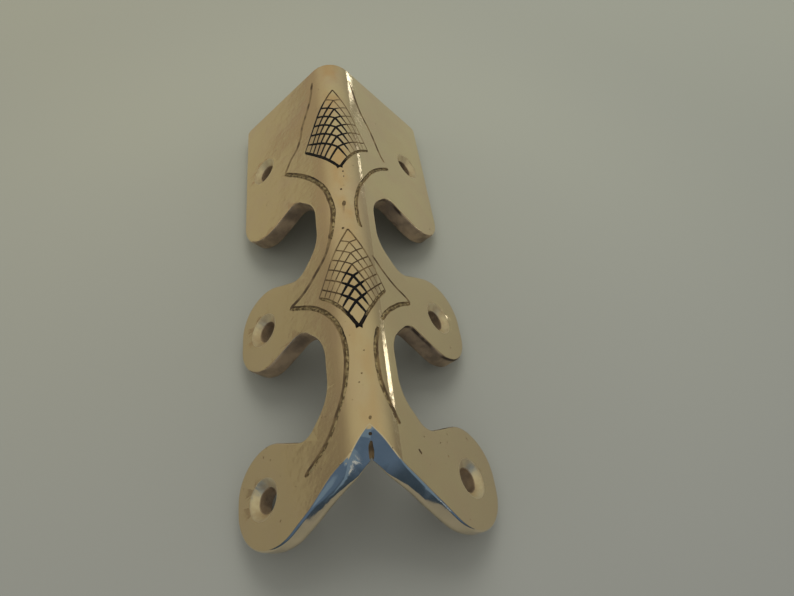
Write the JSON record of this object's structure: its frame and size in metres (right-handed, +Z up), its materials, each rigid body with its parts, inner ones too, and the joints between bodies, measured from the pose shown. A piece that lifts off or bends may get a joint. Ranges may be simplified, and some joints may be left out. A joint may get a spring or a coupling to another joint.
{
  "type": "corner strap",
  "caption": "Cast brass corner strap for a box or chest: a right-angled strip with scalloped fins, countersunk screw holes, an arched end and engraved lines.",
  "frame": {"origin": "on the surface the strap rests on, under the middle of its bounding box", "axes": "+Z up through the rounded corner, +Y along the corner towards the square end, +X across to the right-hand flange; the strap rests on the free edges of its flanges"},
  "size_m": [0.041, 0.1, 0.0206],
  "materials": {
    "brass": "cast, polished on the outside and on the arched end, with dark residue in the engraved lines; as cast inside and in the gaps"
  },
  "bodies": {
    "root": {"corner_casting": "brass"}
  },
  "joints": []
}
